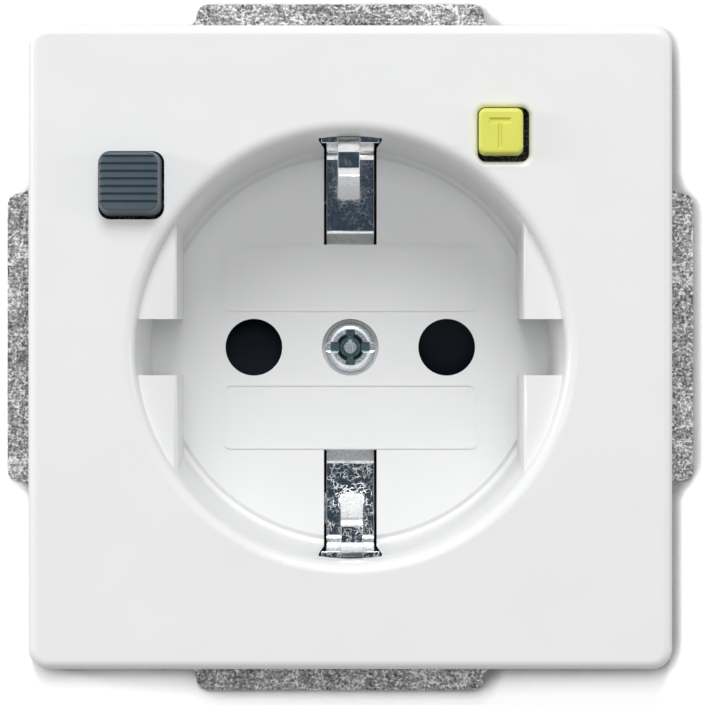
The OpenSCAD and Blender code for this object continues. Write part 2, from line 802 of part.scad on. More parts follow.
module frame_screws() upright() color([0.7, 0.71, 0.73])
  for (a = frame_screw_angles)
    rotate(a) translate([frame_screw_circle_r, 0, 0]) difference() {
      union() {
        translate([0, 0, -frame_screw_len])
          cylinder(h = frame_screw_len + frame_screw_seat + 0.1, d = frame_screw_d);
        translate([0, 0, frame_screw_seat])
          cylinder(h = frame_screw_head_h, d = frame_screw_head_d);
      }
      translate([0, 0, frame_t])
        cube([frame_screw_head_d + over, 0.6, frame_screw_head_h], center = true);
    }

// Edge view of one earth clip, from the middle of the strap to the top of the upright
module clip_upright() {
  centre_z = strap_front - strap_t / 2;
  bent_strip([
    [-0.1, centre_z],
    [slot_start + 0.2, centre_z],
    [slot_start + 1.3, centre_z + strap_step],
    [well_floor_r - 0.1, centre_z + strap_step],
    [clip_r, upright_top - 0.8],
    [clip_r, upright_top]
  ], 1.1, strap_t);
}

// Edge view of the fold, the flat shelf and the spring tongue with its nose
module clip_tongue() {
  bent_strip([
    [clip_r, upright_top - 0.2],
    [clip_r, clip_top - 0.05],
    [clip_r - 1.25, clip_top - 0.5],
    [clip_r - 3.35, clip_top - 0.5],
    [nose_r + 1.5, clip_top - 2.8],
    [nose_r + 0.25, clip_top - 6.3],
    [nose_r + 1.1, clip_top - 8.4]
  ], 0.7, tongue_t);
}

module earth_strap() upright() color([0.62, 0.64, 0.66]) difference() {
  union() {
    for (side = [0, 180])
      rotate(side) {
        rotate([90, 0, 90]) {
          linear_extrude(strap_w, center = true) clip_upright();
          translate([0, 0, tongue_shift]) linear_extrude(tongue_w, center = true) clip_tongue();
        }
        translate([0, clip_r + strap_t / 2, upright_top]) rotate([90, 0, 0])
          linear_extrude(strap_t) polygon([
            [-strap_w / 2, -0.7],
            [strap_w / 2, -0.7],
            [strap_w / 2 + strap_flare, -0.4],
            [strap_w / 2 + strap_flare, 0],
            [-strap_w / 2 - strap_flare, 0],
            [-strap_w / 2 - strap_flare, -0.4]
          ]);
      }
    translate([0, 0, strap_back]) cylinder(h = strap_t, r = strap_pad_r);
    translate([earth_leg_x, -earth_arm_y - earth_arm_w, strap_back])
      cube([-earth_leg_x, earth_arm_w, strap_t]);
    translate([earth_leg_x, -earth_arm_y - earth_arm_w, -terminal_back])
      cube([strap_t, earth_arm_w, terminal_back + strap_front]);
  }
  translate([0, 0, strap_back - over]) cylinder(h = strap_t + 2 * over, d = screw_d + 0.1);
}

module contact_block() upright() color([0.2, 0.2, 0.22]) difference() {
  union() {
    translate([0, 0, deck_back]) cylinder(h = deck_t, r = deck_r);
    translate([0, 0, deck_back - chamber_len / 2])
      cube([chamber_block_w, chamber_block_h, chamber_len + 0.2], center = true);
    translate([0, 0, deck_back]) cylinder(h = strap_back - fit_gap - deck_back, d = pivot_d);
    for (side = [-1, 1])
      translate([-3, side * 15.6 - 1, deck_back]) cube([6, 2, strap_back - fit_gap - deck_back]);
    translate([carrier_spring_x, rivet_y, spring_seat_z])
      cylinder(h = deck_back + 0.2 - spring_seat_z, d = 4.4);
    translate([carrier_spring_x, rivet_y, spring_seat_z - 2]) cylinder(h = 3, d = 2.2);
  }
  for (x = [-pin_x, pin_x]) {
    translate([x, 0, deck_back - over]) cylinder(h = deck_t + 2 * over, d = pin_hole_d);
    translate([x, 0, deck_back - chamber_len / 2 - over / 2])
      cube([chamber_w, chamber_w, chamber_len + over], center = true);
  }
  translate([0, 0, strap_back - 8]) cylinder(h = 9, d = screw_d + 0.4);
  translate([0, 0, chamber_back + 2.5])
    cube([channel_w, chamber_block_h + over, 9], center = true);
  translate([earth_leg_x - 0.3, -earth_arm_y - earth_arm_w - 0.3, deck_back - over])
    cube([strap_t + 0.6, earth_arm_w + 0.6, deck_t + 2 * over]);
}

// Two sprung leaves round a pin, joined behind it
module socket_contact(side) {
  half = chamber_w / 2 - contact_t / 2 - 0.2;
  nose = contact_nose_gap / 2 + contact_t / 2;
  mouth_z = deck_back - 0.9;
  translate([side * pin_x, 0, 0]) {
    rotate([90, 0, 0]) linear_extrude(contact_h, center = true) bent_strip([
      [-half, mouth_z],
      [-nose, mouth_z - 3],
      [-half, mouth_z - 8],
      [-half, tail_front - contact_t / 2],
      [half, tail_front - contact_t / 2],
      [half, mouth_z - 8],
      [nose, mouth_z - 3],
      [half, mouth_z]
    ], 0.6, contact_t);
    translate([-1.8, -contact_h / 2, tail_back])
      cube([3.6, contact_h / 2 + rivet_y + 1.5, contact_t]);
    translate([0, rivet_y, tail_back - rivet_h]) cylinder(h = rivet_h + 0.1, d = rivet_d);
  }
}

module line_contact() upright() color([0.78, 0.68, 0.42]) socket_contact(1);
module neutral_contact() upright() color([0.78, 0.68, 0.42]) socket_contact(-1);

module shutter() upright() color([0.1, 0.12, 0.15]) difference() {
  union() {
    translate([0, 0, shutter_back]) cylinder(h = shutter_t, d = pivot_d + 3);
    intersection() {
      for (side = [0, 180])
        rotate(side) translate([0, 0, shutter_back]) rotate([90, 0, 90])
          linear_extrude(shutter_r) polygon([
            [-shutter_arm_w / 2, 0],
            [shutter_arm_w / 2, 0],
            [shutter_arm_w / 2, shutter_t],
            [-shutter_arm_w / 2, shutter_t - shutter_ramp]
          ]);
      translate([0, 0, shutter_back]) cylinder(h = shutter_t, r = shutter_r);
    }
  }
  translate([0, 0, shutter_back - over])
    cylinder(h = shutter_t + 2 * over, d = pivot_d + 2 * slide_gap);
}

// Leaf from its post on the deck to the shutter's left arm
module shutter_spring() upright() color([0.7, 0.7, 0.72])
  translate([0, 0, shutter_back + 0.2]) linear_extrude(1) bent_strip([
    [-1.4, 14.3],
    [-4, 14.3],
    [-8.5, 11],
    [-10.8, 8],
    [-10.8, shutter_arm_w / 2 + spring_gap]
  ], 1.2, 0.3);

// Rim of a button's head, drawn in by the given inset at height z
module head_layer(x, y, w, h, r, z, inset) {
  translate([x, y, z]) linear_extrude(layer_t)
    rounded_rect(w - 2 * inset, h - 2 * inset, r - inset);
}

// Head of a button whose right and lower flanks slope out, with its stop flange, cut clear of the well
module button_head(x, y, w, h, r, proud, side_lean, low_lean) {
  front = plate_front + proud;
  difference() {
    union() {
      hull() {
        for (z = [button_back, plate_front - layer_t])
          head_layer(x + side_lean / 2, y - low_lean / 2, w + side_lean, h + low_lean, r, z, 0);
        for (a = [0 : 30 : 90])
          head_layer(x, y, w, h, r, front - layer_t - button_edge_r * (1 - sin(a)),
                     button_edge_r * (1 - cos(a)));
      }
      translate([x - flange_reach / 2, y + flange_reach / 2, button_back])
        linear_extrude(flange_t) rounded_rect(w + flange_reach, h + flange_reach, r);
    }
    translate([0, 0, -over])
      cylinder(h = guide_end + over, r = well_r(guide_end) + well_wall_t + 2 * slide_gap);
  }
}

module reset_button() upright() color([0.24, 0.29, 0.33]) difference() {
  union() {
    button_head(reset_x, reset_y, reset_w, reset_h, reset_corner_r, reset_proud,
                reset_side_lean, reset_low_lean);
    translate([reset_stem_x, reset_stem_y, reset_stem_end])
      cylinder(h = button_back + 0.2 - reset_stem_end, d = reset_stem_d);
  }
  for (i = [0 : groove_count - 1])
    translate([reset_x, reset_y + groove_shift + (i - (groove_count - 1) / 2) * groove_pitch,
               plate_front + reset_proud])
      rotate([90, 0, 90]) linear_extrude(reset_w + over, center = true) polygon([
        [-groove_w / 2, over],
        [-groove_w / 2, 0],
        [0, -groove_depth],
        [groove_w / 2, 0],
        [groove_w / 2, over]
      ]);
  translate([reset_stem_x, reset_stem_y, latch_back - 0.1]) difference() {
    cylinder(h = latch_t + 0.2, d = reset_stem_d + over);
    translate([0, 0, -over]) cylinder(h = latch_t + 2 * over, d = neck_d);
  }
}

module test_button() upright() color([0.84, 0.84, 0.4]) {
  button_head(test_x, test_y, test_w, test_h, test_corner_r, test_proud, 0, test_low_lean);
  translate([test_stem_x, test_stem_y, -test_stem_len])
    cylinder(h = test_stem_len + button_back + 0.2, d = test_stem_d);
}

// Springs between the frame and the backs of the buttons
module reset_spring() upright() color([0.7, 0.7, 0.72])
  translate([reset_stem_x, reset_stem_y, frame_t + spring_gap])
    coil_spring(4.2, button_spring_len, spring_turns);

module test_spring() upright() color([0.7, 0.7, 0.72])
  translate([test_stem_x, test_stem_y, frame_t + spring_gap])
    coil_spring(3.9, button_spring_len, spring_turns);

module test_leaf() upright() color([0.78, 0.68, 0.42]) {
  translate([0, 0, leaf_front - 0.3]) linear_extrude(0.3) intersection() {
    translate([test_stem_x - 1, 12.5]) square([board_x - test_stem_x + 1, 10]);
    circle(safe_r);
  }
  translate([board_x - 0.4, 12.5, leaf_front - 4.3]) cube([0.4, 3.3, 4.2]);
}

// Bar behind the bridging contacts, with the head that the latch slides in
module contact_carrier() upright() color([0.85, 0.83, 0.76]) difference() {
  translate([0, 0, carrier_back]) linear_extrude(carrier_t) difference() {
    union() {
      translate([carrier_left, rivet_y - carrier_h / 2])
        square([carrier_right - carrier_left, carrier_h]);
      intersection() {
        translate([carrier_left - 4, rivet_y - carrier_h / 2])
          square([carrier_head_w, carrier_head_h]);
        circle(safe_r);
      }
    }
    translate([reset_stem_x, reset_stem_y]) circle(d = reset_stem_d + 2 * slide_gap);
    translate([post_x, rivet_y]) circle(d = post_d + 2 * slide_gap);
  }
  translate([carrier_left - 5, latch_y - 0.3, latch_back - fit_gap])
    cube([tab_x + latch_t + latch_travel + 2 * fit_gap + 5 - carrier_left, latch_w + 1.1,
          latch_t + 2 * fit_gap]);
}

module carrier_spring() upright() color([0.7, 0.7, 0.72])
  translate([carrier_spring_x, rivet_y, carrier_front + spring_gap])
    coil_spring(4, spring_seat_z - carrier_front - 2 * spring_gap, 5);

// Bar with two rivets that closes one pole
module bridge_contact(side) {
  bar_w = pin_x - lead_rivet_x + 3;
  translate([side * (pin_x + lead_rivet_x) / 2, rivet_y, bridge_back + contact_t / 2])
    cube([bar_w, 2.8, contact_t], center = true);
  for (x = [lead_rivet_x, pin_x])
    translate([side * x, rivet_y, bridge_front - 0.1]) cylinder(h = rivet_h + 0.1, d = rivet_d);
}

module line_bridge() upright() color([0.8, 0.5, 0.32]) bridge_contact(1);
module neutral_bridge() upright() color([0.8, 0.5, 0.32]) bridge_contact(-1);

// Fork round the stem's neck, with a folded tab that the plunger pulls
module trip_latch() upright() color([0.62, 0.63, 0.65]) difference() {
  union() {
    translate([reset_stem_x, latch_y, latch_back])
      cube([tab_x + latch_t - reset_stem_x, latch_w, latch_t]);
    translate([tab_x, coil_y - 4.8, latch_back - 1.2]) cube([latch_t, 6.4, latch_t + 4.8]);
  }
  translate([reset_stem_x - over, reset_stem_y - neck_d / 2 - 0.1, latch_back - over])
    cube([over + 1.3, neck_d + 0.2, latch_t + 2 * over]);
  translate([tab_x - over, coil_y - 0.9, coil_z - 1])
    cube([latch_t + 2 * over, 1.8, 8]);
}

module trip_plunger() upright() color([0.55, 0.56, 0.58])
  translate([tab_x, coil_y, coil_z]) rotate([0, 90, 0]) {
    translate([0, 0, -0.9]) cylinder(h = 0.7, d = 2.4);
    translate([0, 0, -0.3]) cylinder(h = plunger_groove + 0.2, d = 1.5);
    translate([0, 0, plunger_groove - 0.2]) cylinder(h = 0.6, d = 4.2);
    translate([0, 0, plunger_groove]) cylinder(h = 13.5, d = plunger_d);
  }

module plunger_spring() upright() color([0.7, 0.7, 0.72])
  translate([tab_x + plunger_groove + 0.4 + spring_gap, coil_y, coil_z]) rotate([0, 90, 0])
    coil_spring(4.2, bobbin_x - yoke_t - tab_x - plunger_groove - 0.4 - 2 * spring_gap, 3);

module coil_bobbin() upright() color([0.85, 0.83, 0.76])
  translate([bobbin_x, coil_y, coil_z]) rotate([0, 90, 0]) difference() {
    union() {
      cylinder(h = bobbin_len, r = plunger_d / 2 + 0.6);
      cylinder(h = 0.8, r = bobbin_r);
      translate([0, 0, bobbin_len - 0.8]) cylinder(h = 0.8, r = bobbin_r);
    }
    translate([0, 0, -over]) cylinder(h = bobbin_len + 2 * over, d = plunger_d + 2 * slide_gap);
  }

module trip_coil() upright() color([0.65, 0.35, 0.18])
  translate([bobbin_x + 0.9, coil_y, coil_z]) rotate([0, 90, 0]) difference() {
    cylinder(h = bobbin_len - 1.8, r = winding_r);
    translate([0, 0, -over]) cylinder(h = bobbin_len + 2 * over, r = plunger_d / 2 + 0.65);
  }

// Steel bracket that closes the magnetic path and stands on the housing's back
module coil_yoke() upright() color([0.5, 0.51, 0.53])
  translate([0, coil_y, 0]) difference() {
    union() {
      for (x = [bobbin_x - yoke_t, bobbin_x + bobbin_len])
        translate([x, -3, inner_back_z]) cube([yoke_t, 6, coil_z + 3 - inner_back_z]);
      translate([bobbin_x - yoke_t, -3, inner_back_z])
        cube([bobbin_len + 2 * yoke_t, 6, yoke_t]);
    }
    translate([bobbin_x - over - yoke_t, 0, coil_z]) rotate([0, 90, 0])
      cylinder(h = 2 * over + yoke_t, d = plunger_d + 2 * slide_gap);
  }

// Strip from a terminal up through the core to its fixed contact
module lead_strip(side) {
  top = rivet_y + 1.6;
  scale([side, 1, 1]) {
    translate([lead_x, -terminal_y - 1.4, tail_back]) cube([contact_t, terminal_y + 1.4 + top, lead_w]);
    translate([lead_x, rivet_y - 1.6, tail_back])
      cube([lead_rivet_x - lead_x + 1.6, 3.2, contact_t]);
    translate([lead_x, -terminal_y - 1.4, tail_back])
      cube([terminal_x - terminal_w / 2 - lead_x, 2.8, contact_t]);
    translate([lead_rivet_x, rivet_y, tail_back - rivet_h])
      cylinder(h = rivet_h + 0.1, d = rivet_d);
  }
}

module line_lead() upright() color([0.8, 0.5, 0.32]) lead_strip(1);
module neutral_lead() upright() color([0.8, 0.5, 0.32]) mirror([1, 0, 0]) lead_strip(1);

module sensing_core() upright() color([0.25, 0.26, 0.28])
  translate([0, -core_drop, core_z]) rotate([90, 0, 0]) difference() {
    cylinder(h = core_h, r = core_r, center = true);
    cylinder(h = core_h + 2 * over, r = core_hole_r, center = true);
  }

// Turns of wire round the core
module core_winding() upright() color([0.65, 0.35, 0.18])
  translate([0, -core_drop, core_z]) rotate([90, 0, 0])
    for (i = [0 : core_turns - 1])
      rotate(360 * i / core_turns) translate([(core_r + core_hole_r) / 2, 0, 0]) difference() {
        cube([core_r - core_hole_r + 2 * turn_t, turn_t, core_h + 2 * turn_t], center = true);
        cube([core_r - core_hole_r + 0.1, turn_t + over, core_h + 0.1], center = true);
      }

module circuit_board() upright() color([0.15, 0.4, 0.25])
  translate([board_x, -board_h / 2 + 0.5, inner_back_z + 0.2])
    cube([board_t, board_h, -16 - inner_back_z]);

module board_components() upright() color([0.15, 0.15, 0.16]) {
  translate([board_x - 1.3, -12, -30]) cube([1.3, 4, 5]);
  translate([board_x - 2, -6, -31]) cube([2, 3, 3]);
  translate([board_x - 2, 5.5, -30.5]) cube([2, 3, 4]);
}

module test_resistor() upright() color([0.8, 0.7, 0.5]) {
  translate([board_x - 1.3, -1, -22]) rotate([-90, 0, 0]) cylinder(h = 5, d = 2);
  for (y = [-1.6, 4])
    translate([board_x - 1.5, y, -22.2]) cube([1.5, 0.6, 0.4]);
}

// Brass block with a wire hole from behind
module terminal_block(x, y) {
  translate([x, y, -terminal_back]) difference() {
    translate([-terminal_w / 2, -terminal_w / 2, 0]) cube([terminal_w, terminal_w, terminal_len]);
    translate([0, 0, -over]) cylinder(h = terminal_len, d = terminal_bore_d);
  }
}

module line_terminal() upright() color([0.78, 0.68, 0.42]) difference() {
  terminal_block(terminal_x, -terminal_y);
  terminal_screw_shank(terminal_x, -terminal_y, -90, 0.05);
}

module neutral_terminal() upright() color([0.78, 0.68, 0.42]) difference() {
  terminal_block(-terminal_x, -terminal_y);
  terminal_screw_shank(-terminal_x, -terminal_y, -90, 0.05);
}

module earth_terminal() upright() color([0.78, 0.68, 0.42]) difference() {
  terminal_block(-earth_terminal_xy, -earth_terminal_xy);
  terminal_screw_shank(-earth_terminal_xy, -earth_terminal_xy, 180, 0.05);
}

// Shank of a terminal screw that points the way of angle a from its block
module terminal_screw_shank(x, y, a, gap) {
  translate([x, y, -terminal_mid]) rotate(a) rotate([0, 90, 0])
    translate([0, 0, terminal_bore_d / 2 - 0.5])
      cylinder(h = terminal_w / 2 - terminal_bore_d / 2 + 1, d = terminal_screw_d + 2 * gap);
}

module terminal_screw(x, y, a) {
  terminal_screw_shank(x, y, a, 0);
  translate([x, y, -terminal_mid]) rotate(a) rotate([0, 90, 0]) difference() {
    translate([0, 0, terminal_w / 2 + 0.1]) cylinder(h = 1.2, d = terminal_head_d);
    translate([0, 0, terminal_w / 2 + 1.3]) cube([0.7, terminal_head_d + over, 1], center = true);
  }
}

module terminal_screws() upright() color([0.7, 0.71, 0.73]) {
  terminal_screw(terminal_x, -terminal_y, -90);
  terminal_screw(-terminal_x, -terminal_y, -90);
  terminal_screw(-earth_terminal_xy, -earth_terminal_xy, 180);
}

// Outline of the housing with its two flats, for a radius r and a width w across the flats
module housing_outline(r, w) {
  intersection() {
    circle(r);
    square([w, 3 * r], center = true);
  }
}

// Cup of the housing with its chamfered back
module housing_cup() {
  inner_w = housing_flats - 2 * housing_wall_t;
  difference() {
    intersection() {
      rotate_extrude() polygon([
        [0, back_z],
        [housing_r - housing_chamfer, back_z],
        [housing_r, back_z + housing_chamfer],
        [housing_r, seat_depth],
        [0, seat_depth]
      ]);
      rotate([90, 0, 0]) linear_extrude(3 * housing_r, center = true) polygon([
        [-housing_flats / 2, seat_depth],
        [-housing_flats / 2, back_z + housing_chamfer],
        [-housing_flats / 2 + housing_chamfer, back_z],
        [housing_flats / 2 - housing_chamfer, back_z],
        [housing_flats / 2, back_z + housing_chamfer],
        [housing_flats / 2, seat_depth]
      ]);
    }
    translate([0, 0, inner_back_z])
      linear_extrude(housing_depth) housing_outline(housing_inner_r, inner_w);
  }
}

// Solid that the ribs and bosses are trimmed to, inside the outer skin
module housing_core() {
  translate([0, 0, back_z])
    linear_extrude(housing_depth + seat_depth)
      housing_outline(housing_r - 0.4, housing_flats - 0.8);
}

// Boss for a frame screw in the direction a, joined to the wall by a web
module screw_boss(a) {
  intersection() {
    rotate(a) translate([frame_screw_circle_r, 0, -boss_len]) {
      cylinder(h = boss_len + seat_depth, r = boss_r);
      translate([0, -boss_r * 0.8, 0])
        cube([housing_r - frame_screw_circle_r, boss_r * 1.6, boss_len + seat_depth]);
    }
    housing_core();
  }
}

// Rib from the wall to the deck's edge, in the direction a, with its foot at foot_z
module deck_rib(a, foot_z) {
  intersection() {
    rotate(a) translate([deck_r - 1.2, -rib_t / 2, foot_z])
      cube([10, rib_t, deck_back - foot_z]);
    housing_core();
  }
}

module rear_housing() upright() color([0.9, 0.9, 0.88]) difference() {
  union() {
    housing_cup();
    for (a = frame_screw_angles)
      screw_boss(a);
    deck_rib(0, inner_back_z - 0.5);
    deck_rib(90, -26);
    deck_rib(180, inner_back_z - 0.5);
    deck_rib(270, inner_back_z - 0.5);
    for (x = [-pin_x, pin_x])
      translate([x, 0, (inner_back_z + tail_back) / 2 - 0.3])
        cube([2, 5, tail_back - inner_back_z - 0.2], center = true);
    translate([post_x, rivet_y, inner_back_z - 0.5])
      cylinder(h = carrier_front + 2 - inner_back_z + 0.5, d = post_d);
    for (p = wire_places)
      translate([p[0], p[1], inner_back_z - 0.5])
        cylinder(h = 0.5 + terminal_gap - 0.3, d = wire_hole_d + 1.8);
  }
  for (a = frame_screw_angles)
    rotate(a) translate([frame_screw_circle_r, 0, -frame_screw_len - 0.5])
      cylinder(h = frame_screw_len + 1, d = frame_screw_d + 0.05);
  for (p = wire_places)
    translate([p[0], p[1], back_z - over]) cylinder(h = 8, d = wire_hole_d);
  for (x = [-terminal_x, terminal_x])
    translate([x, -terminal_y - terminal_w / 2 - 0.3, -terminal_mid]) rotate([90, 0, 0])
      cylinder(h = 8, d = driver_hole_d);
  translate([-earth_terminal_xy - terminal_w / 2 - 0.3, -earth_terminal_xy, -terminal_mid])
    rotate([0, -90, 0]) cylinder(h = 9, d = driver_hole_d);
}

cover_plate();
cover_screw();
support_frame();
frame_screws();
earth_strap();
contact_block();
line_contact();
neutral_contact();
shutter();
shutter_spring();
reset_button();
reset_spring();
test_button();
test_spring();
test_leaf();
contact_carrier();
carrier_spring();
line_bridge();
neutral_bridge();
trip_latch();
trip_plunger();
plunger_spring();
coil_bobbin();
trip_coil();
coil_yoke();
line_lead();
neutral_lead();
sensing_core();
core_winding();
circuit_board();
board_components();
test_resistor();
line_terminal();
neutral_terminal();
earth_terminal();
terminal_screws();
rear_housing();
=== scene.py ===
import math

import bmesh
import bpy
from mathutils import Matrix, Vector


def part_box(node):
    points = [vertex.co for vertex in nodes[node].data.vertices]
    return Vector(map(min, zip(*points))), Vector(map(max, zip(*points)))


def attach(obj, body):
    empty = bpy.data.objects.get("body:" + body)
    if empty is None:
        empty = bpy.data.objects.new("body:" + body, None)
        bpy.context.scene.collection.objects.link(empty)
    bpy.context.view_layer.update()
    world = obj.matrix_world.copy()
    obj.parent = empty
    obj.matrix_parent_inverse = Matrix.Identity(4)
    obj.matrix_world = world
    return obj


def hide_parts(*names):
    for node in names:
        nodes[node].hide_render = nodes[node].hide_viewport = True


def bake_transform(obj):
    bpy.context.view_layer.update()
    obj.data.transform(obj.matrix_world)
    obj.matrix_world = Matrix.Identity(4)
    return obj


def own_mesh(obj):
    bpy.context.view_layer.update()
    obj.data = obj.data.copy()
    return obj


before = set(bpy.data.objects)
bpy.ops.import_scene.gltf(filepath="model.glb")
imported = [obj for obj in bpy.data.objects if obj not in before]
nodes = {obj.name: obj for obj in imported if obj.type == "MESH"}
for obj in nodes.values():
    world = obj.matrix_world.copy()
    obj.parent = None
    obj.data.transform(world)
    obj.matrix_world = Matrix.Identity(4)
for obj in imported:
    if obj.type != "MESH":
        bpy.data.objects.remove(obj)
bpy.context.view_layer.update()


# Rear housing
# A cup of pale thermoplastic that holds the trip mechanism and goes into the wall box.
# It is moulded in one piece with its ribs and bosses, and screwed to the support frame.
def new_finish(name):
    finish = bpy.data.materials.new(name)
    finish.use_nodes = True
    tree = finish.node_tree
    shader = tree.nodes["Principled BSDF"]
    place = tree.nodes.new("ShaderNodeTexCoord")
    return finish, tree, shader, place.outputs["Object"]


def cloud(tree, place, scale, detail=3.0, stretch=None):
    if stretch is not None:
        mapping = tree.nodes.new("ShaderNodeMapping")
        mapping.inputs["Scale"].default_value = stretch
        tree.links.new(place, mapping.inputs["Vector"])
        place = mapping.outputs["Vector"]
    noise = tree.nodes.new("ShaderNodeTexNoise")
    noise.inputs["Scale"].default_value = scale
    noise.inputs["Detail"].default_value = detail
    tree.links.new(place, noise.inputs["Vector"])
    return noise.outputs["Fac"]


def ramp(tree, value, stops):
    node = tree.nodes.new("ShaderNodeValToRGB")
    band = node.color_ramp
    while len(band.elements) < len(stops):
        band.elements.new(0.5)
    for element, (position, colour) in zip(band.elements, stops):
        element.position = position
        element.color = (*colour, 1.0)
    tree.links.new(value, node.inputs["Fac"])
    return node.outputs["Color"]


def rescale(tree, value, source, target=(0.0, 1.0)):
    node = tree.nodes.new("ShaderNodeMapRange")
    node.inputs["From Min"].default_value, node.inputs["From Max"].default_value = source
    node.inputs["To Min"].default_value, node.inputs["To Max"].default_value = target
    tree.links.new(value, node.inputs["Value"])
    return node.outputs["Result"]


def spread(tree, noise, low, high):
    noise_reach = (0.3, 0.7)
    return rescale(tree, noise, noise_reach, (low, high))


def raise_grain(tree, shader, height, depth):
    bump = tree.nodes.new("ShaderNodeBump")
    bump.inputs["Distance"].default_value = depth
    tree.links.new(height, bump.inputs["Height"])
    tree.links.new(bump.outputs["Normal"], shader.inputs["Normal"])


def shade(colour, factor):
    return tuple(min(1.0, c * factor) for c in colour)


def moulded_plastic(name, colour, roughness, mottle=0.02, grain=1500.0, depth=0.000002):
    patch_scale = 180.0
    gloss_change = 0.08
    finish, tree, shader, place = new_finish(name)
    patches = cloud(tree, place, patch_scale)
    tone = ramp(tree, patches, [(0.3, shade(colour, 1 - mottle)), (0.7, shade(colour, 1 + mottle))])
    gloss = spread(
        tree, patches, roughness * (1 - gloss_change), roughness * (1 + gloss_change)
    )
    tree.links.new(tone, shader.inputs["Base Color"])
    tree.links.new(gloss, shader.inputs["Roughness"])
    shader.inputs["IOR"].default_value = 1.5
    raise_grain(tree, shader, cloud(tree, place, grain, detail=2.0), depth)
    return finish


def dress(finish, *names):
    for name in names:
        materials = nodes[name].data.materials
        for slot in range(len(materials)):
            materials[slot] = finish


housing_plastic = moulded_plastic(
    "housing_plastic", colour=(0.62, 0.61, 0.57), roughness=0.45,
    mottle=0.04, grain=2600.0, depth=0.000006,
)
dress(housing_plastic, "rear_housing")


# Terminals for the fixed wiring
# Three drawn brass blocks, cross-drilled for a conductor from behind and tapped for a screw.
# Their screws are steel, zinc plated, and are reached from the housing's side.
def worked_metal(name, dark, light, roughness, patch, grain, depth, stretch=None):
    gloss_change = 0.2
    finish, tree, shader, place = new_finish(name)
    patches = cloud(tree, place, patch, detail=4.0, stretch=stretch)
    fine = cloud(tree, place, grain, detail=2.0, stretch=stretch)
    tone = ramp(tree, patches, [(0.32, dark), (0.68, light)])
    gloss = spread(tree, fine, roughness * (1 - gloss_change), roughness * (1 + gloss_change))
    tree.links.new(tone, shader.inputs["Base Color"])
    tree.links.new(gloss, shader.inputs["Roughness"])
    raise_grain(tree, shader, fine, depth)
    shader.inputs["Metallic"].default_value = 1.0
    return finish


drawn_brass = worked_metal(
    "drawn_brass", dark=(0.62, 0.44, 0.18), light=(0.78, 0.59, 0.28),
    roughness=0.28, patch=400.0, grain=4000.0, depth=0.000002,
)
zinc_plate = worked_metal(
    "zinc_plate", dark=(0.56, 0.6, 0.64), light=(0.74, 0.78, 0.81),
    roughness=0.22, patch=900.0, grain=5000.0, depth=0.000002,
)
dress(drawn_brass, "line_terminal", "neutral_terminal", "earth_terminal")
dress(zinc_plate, "terminal_screws")


# Circuit board
# Glass-fibre board with green solder mask, that stands in the housing on its long edge.
# It carries the amplifier's parts and the test resistor.
def solder_mask():
    weave_scale = 900.0
    weave_depth = 0.000003
    dark_green = (0.01, 0.1, 0.045)
    light_green = (0.016, 0.14, 0.06)
    finish, tree, shader, place = new_finish("solder_mask")
    weave = tree.nodes.new("ShaderNodeTexWave")
    weave.inputs["Scale"].default_value = weave_scale
    weave.inputs["Distortion"].default_value = 0.6
    tree.links.new(place, weave.inputs["Vector"])
    tone = ramp(tree, weave.outputs["Fac"], [(0.2, dark_green), (0.8, light_green)])
    tree.links.new(tone, shader.inputs["Base Color"])
    raise_grain(tree, shader, weave.outputs["Fac"], weave_depth)
    shader.inputs["Roughness"].default_value = 0.3
    return finish


def split_axes(tree, vector):
    node = tree.nodes.new("ShaderNodeSeparateXYZ")
    tree.links.new(vector, node.inputs["Vector"])
    return node.outputs


def banded_body():
    body_low_z = -0.001
    body_high_z = 0.004
    tan = (0.6, 0.42, 0.22)
    brown = (0.3, 0.05, 0.02)
    black = (0.02, 0.02, 0.02)
    gold = (0.5, 0.34, 0.08)
    lacquer_grain = 1800.0
    lacquer_depth = 0.000004
    finish, tree, shader, place = new_finish("resistor_lacquer")
    along = rescale(tree, split_axes(tree, place)["Z"], (body_low_z, body_high_z))
    tone = ramp(tree, along, [
        (0.0, tan), (0.24, brown), (0.32, tan), (0.48, black), (0.56, tan), (0.76, gold),
        (0.84, tan),
    ])
    tone.node.color_ramp.interpolation = "CONSTANT"
    tree.links.new(tone, shader.inputs["Base Color"])
    raise_grain(tree, shader, cloud(tree, place, lacquer_grain), lacquer_depth)
    shader.inputs["Roughness"].default_value = 0.4
    return finish


component_case = moulded_plastic(
    "component_case", colour=(0.016, 0.016, 0.018), roughness=0.5, mottle=0.15, grain=3000.0
)
dress(solder_mask(), "circuit_board")
dress(banded_body(), "test_resistor")
dress(component_case, "board_components")


# Sensing core
# A ring of wound nickel-iron strip that both leads pass through.
# A few turns of enamelled copper wire pick up the difference between their currents.
wound_strip = worked_metal(
    "wound_strip", dark=(0.11, 0.11, 0.12), light=(0.2, 0.2, 0.21),
    roughness=0.5, patch=700.0, grain=3000.0, depth=0.000004,
)
enamelled_copper = worked_metal(
    "enamelled_copper", dark=(0.4, 0.13, 0.045), light=(0.58, 0.21, 0.075),
    roughness=0.3, patch=800.0, grain=6000.0, depth=0.000006, stretch=(1.0, 4.0, 1.0),
)
dress(wound_strip, "sensing_core")
dress(enamelled_copper, "core_winding")


# Trip coil
# A bobbin of pale plastic wound with enamelled copper, in a bent steel yoke.
# Its iron plunger pulls the latch off the reset button's stem.
pale_moulding = moulded_plastic(
    "pale_moulding", colour=(0.66, 0.62, 0.5), roughness=0.42, mottle=0.03
)
soft_iron = worked_metal(
    "soft_iron", dark=(0.2, 0.2, 0.21), light=(0.34, 0.34, 0.35),
    roughness=0.42, patch=500.0, grain=3500.0, depth=0.000004,
)
dress(pale_moulding, "coil_bobbin")
dress(enamelled_copper, "trip_coil")
dress(soft_iron, "coil_yoke", "trip_plunger")


